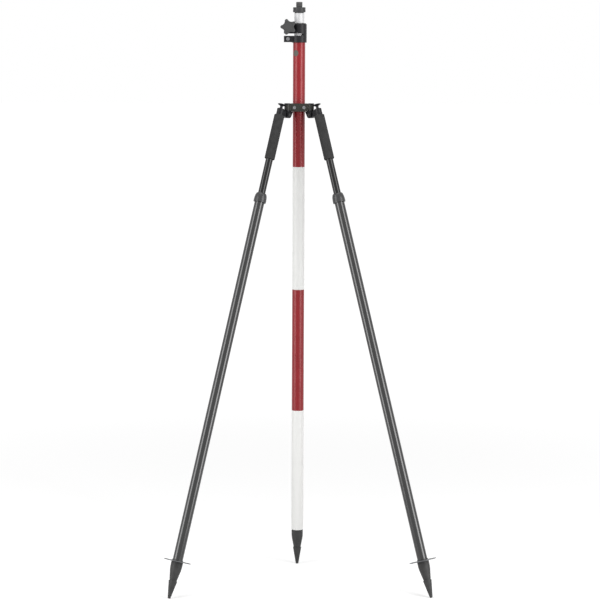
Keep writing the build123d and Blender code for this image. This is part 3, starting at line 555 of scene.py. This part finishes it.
def threaded_stud():
    """Stud with an 11-to-the-inch thread and a relief groove under it.

    The flank height is a triangle wave of (height / pitch - angle / full turn), clipped flat at
    crest and root. The groove's radius falls by a raised cosine of the height. The surface
    closes on the axis above and below.
    """
    bottom = high("top_adapter")[2]
    top = high("top_stud")[2]
    crest = high("top_stud")[0]
    pitch = 25.4 / 11
    depth = 0.7
    groove = 2.7
    height = np.linspace(bottom, top, 210)[:, None]
    angle = np.linspace(0, 2 * np.pi, RING_STEPS, endpoint=False)[None, :]
    wave = np.abs(((height / pitch - angle / (2 * np.pi)) % 1.0) * 2 - 1)
    flank = np.clip(wave * 1.8 - 0.7, 0, 1)
    fade = np.clip((height - bottom - groove) / 0.9, 0, 1)
    share = np.clip((height - bottom) / groove, 0, 1)
    relief = 0.5 - 0.5 * np.cos(2 * np.pi * share)
    bevel = np.clip(height - (top - 1.2), 0, 1.2)
    radius = np.minimum(crest - depth * flank * fade - 0.8 * relief, crest - bevel)
    root = np.array([[0, bottom - 9], [6, bottom - 9], [6, bottom]])[:, :, None]
    root = np.broadcast_to(root, (3, 2, RING_STEPS))
    cap = np.broadcast_to(np.array([[0], [top]]), (1, 2, RING_STEPS))
    thread = np.stack([radius, np.broadcast_to(height, radius.shape)], axis=1)
    rings = np.concatenate([root, thread, cap])
    points = np.stack(
        [rings[:, 0] * np.cos(angle), rings[:, 0] * np.sin(angle), rings[:, 1]], axis=-1
    )
    faces = grid_faces(len(rings), RING_STEPS, False, True)
    piece = keep_piece(
        "threaded_stud", points.reshape(-1, 3), faces, "inner_pole", finish["stud"], crease=40
    )
    dress(piece, "dark_steel", "top_stud")


def scale_lines():
    """Tenth-of-a-foot lines down the inner tube, every fifth one longer."""
    top = high("inner_tube")[2] - 21.0
    count = int((top - low("inner_tube")[2]) / (FOOT_MARK / 10))
    rise = np.linspace(-0.3, 0.3, 3)[:, None]
    for k in range(count):
        half = 3.5 if k % 5 == 0 else 2.0
        arc = np.linspace(-half, half, 9)[None, :]
        piece = shell_patch(
            "scale_line_%02d" % k, INNER_R - 0.01, math.radians(-152), top - k * FOOT_MARK / 10,
            arc, rise, "inner_pole", finish["etched"], 0.03,
        )


def round_label():
    """Plain round film on the red band: arc = r cos t, rise = r sin t, r from 0 to 7.5 mm."""
    r = np.linspace(0, 7.5, 9)[:, None]
    t = np.linspace(0, 2 * np.pi, 65)[None, :]
    piece = shell_patch(
        "round_label", POLE_R, math.radians(-126), 1282.4, r * np.cos(t), r * np.sin(t), "pole",
        finish["label"], 0.08,
    )


def star_radius(angle):
    """Radius of the star at an angle: five lobe arcs joined by valley arcs, all tangent.

    With d the angle from the nearest lobe and e = 36 degrees - d, the lobe is
    15.4 cos d + sqrt(4.2^2 - (15.4 sin d)^2) up to 13.76 degrees, and the valley beyond it is
    23.85 cos e - sqrt(10.35^2 - (23.85 sin e)^2).
    """
    half = math.radians(36)
    d = np.abs((angle + half) % (2 * half) - half)
    e = half - d
    lobe = 15.4 * np.cos(d) + np.sqrt(np.maximum(4.2**2 - (15.4 * np.sin(d)) ** 2, 0))
    valley = 23.85 * np.cos(e) - np.sqrt(np.maximum(10.35**2 - (23.85 * np.sin(e)) ** 2, 0))
    return np.where(d < math.radians(13.76), lobe, valley)


def star_knob():
    """Moulded star knob: the star's outline drawn in along its normals as its rim rounds over.

    The outline is (r cos a, r sin a). Inside the rim it blends to a circle, the edge of the
    shallow dish. Heights run towards the front.
    """
    centre_x = -27.0
    centre_z = high("lock_collar")[2] - 9.4
    back = 19.0
    front = back + 11
    hub_end = 9.7
    bore = 4.02
    rim = 2.0
    dish = 0.8
    a = np.linspace(0, 2 * np.pi, 240, endpoint=False)
    r = star_radius(a - math.radians(36))
    outline = np.stack([r * np.cos(a), r * np.sin(a)], axis=-1)
    along = np.roll(outline, -1, axis=0) - np.roll(outline, 1, axis=0)
    normal = np.stack([along[:, 1], -along[:, 0]], axis=-1) / np.hypot(*along.T)[:, None]
    circle = np.stack([np.cos(a), np.sin(a)], axis=-1)
    quarter = np.linspace(0, np.pi / 2, 7)
    # Bore for the screw and the hub's end face
    rows = [(circle * 0, front - 4), (circle * bore, front - 4), (circle * bore, hub_end)]
    rows += [(circle * 7.5, hub_end), (circle * 9, back + 0.4)]
    # Small round at the back edge, large one at the front
    rows += [(outline - normal * 0.7, back)]
    rows += [(outline - normal * 0.15, back + 0.15), (outline, back + 0.7)]
    rows += [
        (outline - normal * rim * (1 - math.cos(q)), front - rim * (1 - math.sin(q)))
        for q in quarter
    ]
    inner = outline - normal * rim
    rows += [(inner + (circle * 12 - inner) * w, front) for w in (0.5, 1.0)]
    # Shallow dish
    rows += [(circle * 11.7, front - 0.25), (circle * 11.4, front - 0.7)]
    rows += [(circle * r, front - dish) for r in (11.0, 5, 0)]
    points = np.stack(
        [
            np.stack([centre_x + flat[:, 0], np.full(len(a), -height), centre_z + flat[:, 1]], axis=-1)
            for flat, height in rows
        ]
    )
    faces = grid_faces(len(rows), len(a), False, True)
    piece = keep_piece("moulded_star_knob", points.reshape(-1, 3), faces, "lock_knob", finish["knob"])
    dress(piece, "knob_plastic", "star_knob")


# Legs

def bell_outline(bottom, top):
    """Bell of the dome cap: skirt with a fine groove, a cubic curve over its shoulder, stepped bore."""
    skirt_r = 15.4
    mouth_r = 10.3
    bore = LOWER_R + SEAT
    step = bottom + 17.7
    skirt = bottom + 4
    share = 0.55
    t = np.linspace(0, 1, 15)[1:-1, None]
    a = np.array([skirt_r, skirt])
    b = np.array([skirt_r, skirt + share * (top - skirt)])
    c = np.array([mouth_r + share * (skirt_r - mouth_r), top])
    d = np.array([mouth_r, top])
    curve = (1 - t) ** 3 * a + 3 * t * (1 - t) ** 2 * b + 3 * t**2 * (1 - t) * c + t**3 * d
    return [
        (bore, bottom), (skirt_r, bottom), (skirt_r, skirt - 0.5), (skirt_r - 0.25, skirt),
        (skirt_r, skirt + 0.5), *map(tuple, curve), (mouth_r, top), (UPPER_R + 0.25, top),
        (UPPER_R + 0.25, step + 1), (11.1, step), (bore, step),
    ]


def button_outline(bottom, top):
    """Thumb button: stop flange, post, flare and a saucer rim with a low crown."""
    return [
        (0, bottom), (4.9, bottom), (4.9, bottom + 2.6), (3.5, bottom + 2.6), (3.5, top - 5.0),
        (10, top - 1.6), (10, top - 0.5), (7, top - 0.2), (0, top),
    ]


def release_spring(side, place):
    """Coil spring under the thumb button.

    The wire's middle is (R cos t, R sin t) and rises evenly over seven turns. Its round section
    stands in the plane through the axis. The first and last rings close on the wire's middle.
    """
    bottom, top = along_leg(side + "_button_spring", place)
    wire = 0.5
    turns = 7
    middle_r = 4.15
    share = np.concatenate([[0], np.linspace(0, 1, 48 * turns + 1), [1]])[:, None]
    size = np.full(share.shape, wire)
    size[[0, -1]] = 0
    around = np.linspace(0, 2 * np.pi, 12, endpoint=False)[None, :]
    radius = middle_r + size * np.cos(around)
    angle = 2 * np.pi * turns * share
    height = bottom + wire + (top - bottom - 2 * wire) * share + size * np.sin(around)
    points = np.stack([radius * np.cos(angle), radius * np.sin(angle), height], axis=-1)
    piece = keep_piece(
        side + "_coil_spring", points.reshape(-1, 3), grid_faces(len(points), 12, False, True),
        side + "_leg", finish["zinc"], place,
    )
    dress(piece, "screw_steel", side + "_button_spring")
    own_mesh(piece)


def leg_pieces(side, place):
    """Tubes, grip, dome cap, thumb button, foot disc with a dark seal ring that also paints the shade
    over it, ferrule and point of one leg.
    """
    leg = side + "_leg"
    foot = side + "_foot"
    foot_at = place @ Matrix.Translation((0, 0, along_leg(side + "_leg_point", place)[0] * MM))
    for part, body, outer, inner, slot in (
        ("upper_tube", leg, UPPER_R, UPPER_R - 1.5, "black_gloss"),
        ("lower_tube", foot, LOWER_R, LOWER_BORE, "grey_anodised"),
    ):
        outline = tube_outline(outer, inner, *along_leg(side + "_" + part, place))
        kind = side + own_finish[part]
        piece = turned(side + "_drawn_" + part, [outline], body, finish[kind], place)
        dress(piece, slot, side + "_" + part)
    bottom, top = along_leg(side + "_grip", place)
    outline = tube_outline(GRIP_R, UPPER_R + SEAT, bottom, top)
    piece = turned(
        side + "_rubber_sleeve", [outline], leg, finish[side + "_grip"], place,
        ease=(0.4, 2.2, 2.2, 0.4),
    )
    dress(piece, "grip_rubber", side + "_grip")
    outline = bell_outline(*along_leg(side + "_dome_cap", place))
    piece = turned(side + "_bell_cap", [outline], foot, finish["cap"], place)
    dress(piece, "cap_plastic", side + "_dome_cap")
    outline = button_outline(*along_leg(side + "_thumb_button", place))
    piece = turned(
        side + "_saucer_button", [outline], side + "_release", finish["black"], place, ease=0.5
    )
    dress(piece, "black_anodised", side + "_thumb_button")
    bottom, top = along_leg(side + "_foot_disc", foot_at)
    outline = tube_outline(32.3, LOWER_BORE, bottom, top)
    piece = turned(
        side + "_stamped_disc", [outline], foot, finish["rolled"], foot_at, ease=(0.1, 0.9, 0.9, 0.1)
    )
    dress(piece, "disc_steel", side + "_foot_disc")
    # Dark ring over the foot disc: part seal, part painted shade where the tube meets the disc
    seal_and_shade_outline = tube_outline(13.2, LOWER_R + SEAT, top, top + 2.8)
    piece = turned(
        side + "_disc_seal_and_shade_ring", [seal_and_shade_outline], foot, finish["cap"], foot_at, ease=(0.1, 0.9, 0.9, 0.1)
    )
    outline = ferrule_outline(14.1, 72.0, bottom, LOWER_BORE - SEAT, bottom + 28.2)
    piece = turned(
        side + "_tapered_ferrule", [outline], foot, finish[side + "_steel"], foot_at, ease=FERRULE_EASE
    )
    dress(piece, "dark_steel", side + "_foot_ferrule")
    piece = turned(
        side + "_ground_point", [point_outline()], foot, finish[side + "_steel"], foot_at, ease=0.25
    )
    dress(piece, "dark_steel", side + "_leg_point")


pole_pieces()
inner_pole_pieces()
threaded_stud()
scale_lines()
round_label()
star_knob()
for side, place in legs.items():
    leg_pieces(side, place)
    release_spring(side, place)


# Camera, light and floor

def photo_camera():
    """Camera of the photograph: its place and turn as a survey of the picture gave them."""
    distance = 4.8739
    eye_height = 1.2516
    aside = 0.0047
    azimuth = math.radians(-1.47)
    pitch = math.radians(6.783)
    roll = math.radians(0.239)
    right = Vector((math.cos(azimuth), math.sin(azimuth), 0))
    flat = math.cos(pitch)
    ahead = Vector((-math.sin(azimuth) * flat, math.cos(azimuth) * flat, -math.sin(pitch)))
    up = right.cross(ahead)
    x_axis = right * math.cos(roll) + up * math.sin(roll)
    y_axis = up * math.cos(roll) - right * math.sin(roll)
    data = bpy.data.cameras.new("photo_camera")
    data.sensor_width = 36.0
    data.lens = 118.1
    data.clip_end = 100.0
    camera = bpy.data.objects.new("photo_camera", data)
    bpy.context.scene.collection.objects.link(camera)
    camera.matrix_world = Matrix((x_axis, y_axis, -ahead)).transposed().to_4x4()
    eye = Vector((distance * math.sin(azimuth), -distance * math.cos(azimuth), eye_height))
    camera.location = eye + right * aside
    bpy.context.scene.camera = camera


def softbox(name, place, aim, width, height, radiance):
    """Rectangular lamp facing a point. Its power is radiance x pi x area."""
    data = bpy.data.lights.new(name, "AREA")
    data.shape = "RECTANGLE"
    data.size = width
    data.size_y = height
    data.energy = radiance * math.pi * width * height
    lamp = bpy.data.objects.new(name, data)
    bpy.context.scene.collection.objects.link(lamp)
    lamp.location = place
    lamp.rotation_euler = (Vector(aim) - Vector(place)).to_track_quat("-Z", "Y").to_euler()


def any_of(tree, *names):
    """1 for a ray of any of these kinds, else 0."""
    path = node(tree, "ShaderNodeLightPath")
    seen = path.outputs[names[0]]
    for name in names[1:]:
        seen = node(
            tree, "ShaderNodeMath", {"operation": "MAXIMUM"}, {0: seen, 1: path.outputs[name]}
        ).outputs[0]
    return seen


def white_surround():
    """World: soft light on the object, plain white where the camera or a gloss looks at it."""
    world = bpy.data.worlds.new("white_surround")
    bpy.context.scene.world = world
    world.use_nodes = True
    tree = world.node_tree
    tree.nodes.clear()
    seen = any_of(tree, "Is Camera Ray", "Is Glossy Ray", "Is Transmission Ray")
    soft = node(tree, "ShaderNodeBackground", sockets={"Color": (1, 1, 1, 1), "Strength": 0.36})
    white = node(tree, "ShaderNodeBackground", sockets={"Color": (1, 1, 1, 1), "Strength": 1.0})
    mix = node(tree, "ShaderNodeMixShader", sockets={0: seen, 1: soft.outputs[0], 2: white.outputs[0]})
    node(tree, "ShaderNodeOutputWorld", sockets={"Surface": mix.outputs[0]})


def studio_floor():
    """Pale seamless paper. It keeps the object's shadow, and to the camera it brightens to
    white with the distance from the object, where the lamps no longer reach it.
    """
    mesh = bpy.data.meshes.new("studio_floor")
    reach = 60.0
    corners = [(-reach, -reach, 0), (reach, -reach, 0), (reach, reach, 0), (-reach, reach, 0)]
    mesh.from_pydata(corners, [], [(0, 1, 2, 3)])
    floor = bpy.data.objects.new("studio_floor", mesh)
    bpy.context.scene.collection.objects.link(floor)
    material = bpy.data.materials.new("pale_paper")
    material.use_nodes = True
    tree = material.node_tree
    tree.nodes.clear()
    seen = any_of(tree, "Is Camera Ray", "Is Glossy Ray", "Is Transmission Ray")
    place = node(tree, "ShaderNodeTexCoord").outputs["Object"]
    far = node(tree, "ShaderNodeVectorMath", {"operation": "LENGTH"}, {0: place}).outputs["Value"]
    glow = node(
        tree, "ShaderNodeMapRange", {"interpolation_type": "SMOOTHSTEP"},
        {"Value": far, "From Min": 0.4, "From Max": 4.0, "To Min": 0.47, "To Max": 0.8},
    ).outputs["Result"]
    paper = node(tree, "ShaderNodeBsdfDiffuse", sockets={"Color": linear("#DCDCDC")})
    light = node(tree, "ShaderNodeEmission", sockets={"Color": (1, 1, 1, 1), "Strength": glow})
    lit = node(tree, "ShaderNodeAddShader", sockets={0: paper.outputs[0], 1: light.outputs[0]})
    mix = node(tree, "ShaderNodeMixShader", sockets={0: seen, 1: paper.outputs[0], 2: lit.outputs[0]})
    node(tree, "ShaderNodeOutputMaterial", sockets={"Surface": mix.outputs[0]})
    mesh.materials.append(material)


photo_camera()
white_surround()
studio_floor()
softbox("left_softbox", (-1.75, -1.05, 1.22), (0, 0, 1.22), 0.95, 2.4, 4.2)
softbox("right_softbox", (1.5, -1.35, 1.22), (0, 0, 1.22), 0.95, 2.4, 5.2)
softbox("overhead_softbox", (0, -0.5, 3.2), (0, 0, 0.7), 1.6, 1.6, 2.0)

scene = bpy.context.scene
scene.view_settings.view_transform = "Standard"
